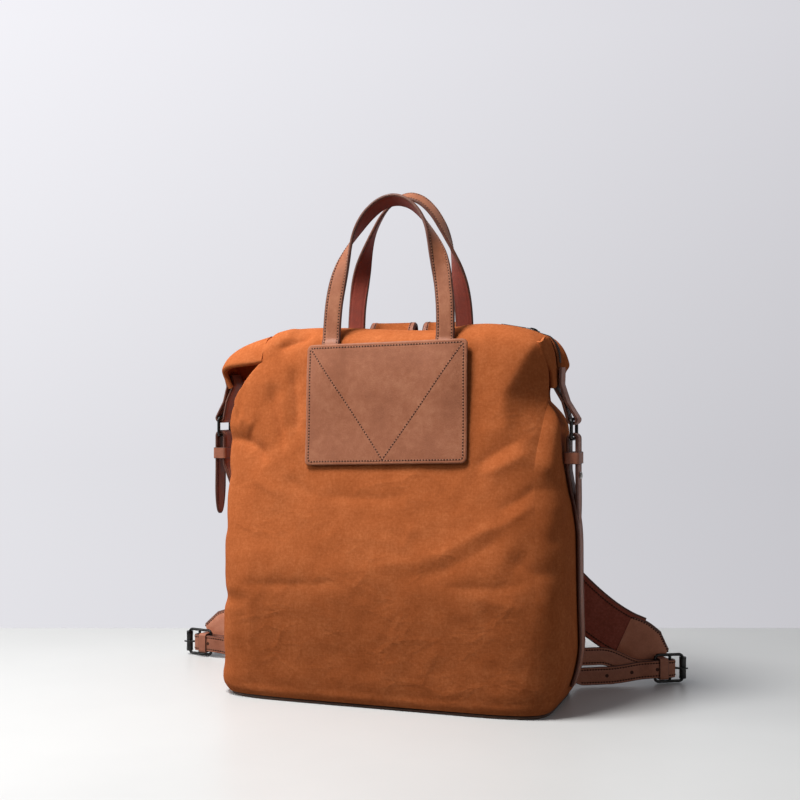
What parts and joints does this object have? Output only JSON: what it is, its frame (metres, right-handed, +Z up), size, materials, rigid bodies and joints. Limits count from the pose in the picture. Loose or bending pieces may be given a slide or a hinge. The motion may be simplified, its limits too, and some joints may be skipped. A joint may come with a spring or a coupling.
{
  "type": "canvas backpack",
  "caption": "Soft canvas backpack with a zipped top whose ends fold down to side straps, a leather front patch, carrying handles and buckled shoulder straps.",
  "frame": {"origin": "centre of the leather base's underside, the face that it stands on", "axes": "+X to the bag's left-hand side as worn, the viewer's right from the front; -Y towards the front with the patch; +Z up"},
  "size_m": [0.5385, 0.2091, 0.4846],
  "materials": {
    "canvas": "rust-orange waxed canvas",
    "leather": "tan leather, matt",
    "dark_leather": "dark brown leather",
    "strap": "dark red-brown webbing lining",
    "metal": "gunmetal",
    "bright_metal": "nickel",
    "zip": "brown zip tape with dark teeth"
  },
  "bodies": {
    "root": {"front_panel": "canvas", "back_panel": "canvas", "gusset_left": "canvas", "gusset_right": "canvas", "wing_left": "canvas", "wing_right": "canvas", "base_panel": "dark_leather", "zip_tape": "zip", "zip_slider": "metal", "zip_pull": "metal", "front_patch": "leather", "handle_front": "leather", "handle_back": "leather", "shoulder_strap_left": "strap", "shoulder_strap_right": "strap", "strap_tab_left": "leather", "strap_tab_right": "leather", "lower_strap_left": "leather", "lower_strap_right": "leather", "buckle_frame_left": "metal", "buckle_frame_right": "metal", "buckle_roller_left": "metal", "buckle_roller_right": "metal", "buckle_prong_left": "metal", "buckle_prong_right": "metal", "strap_keeper_left": "leather", "strap_keeper_right": "leather", "wing_tab_left": "leather", "wing_tab_right": "leather", "ring_left": "metal", "ring_right": "metal", "side_strap_left": "leather", "side_strap_right": "leather", "side_keeper_left": "leather", "side_keeper_right": "leather", "side_stud_left": "bright_metal", "side_stud_right": "bright_metal"}
  },
  "joints": []
}
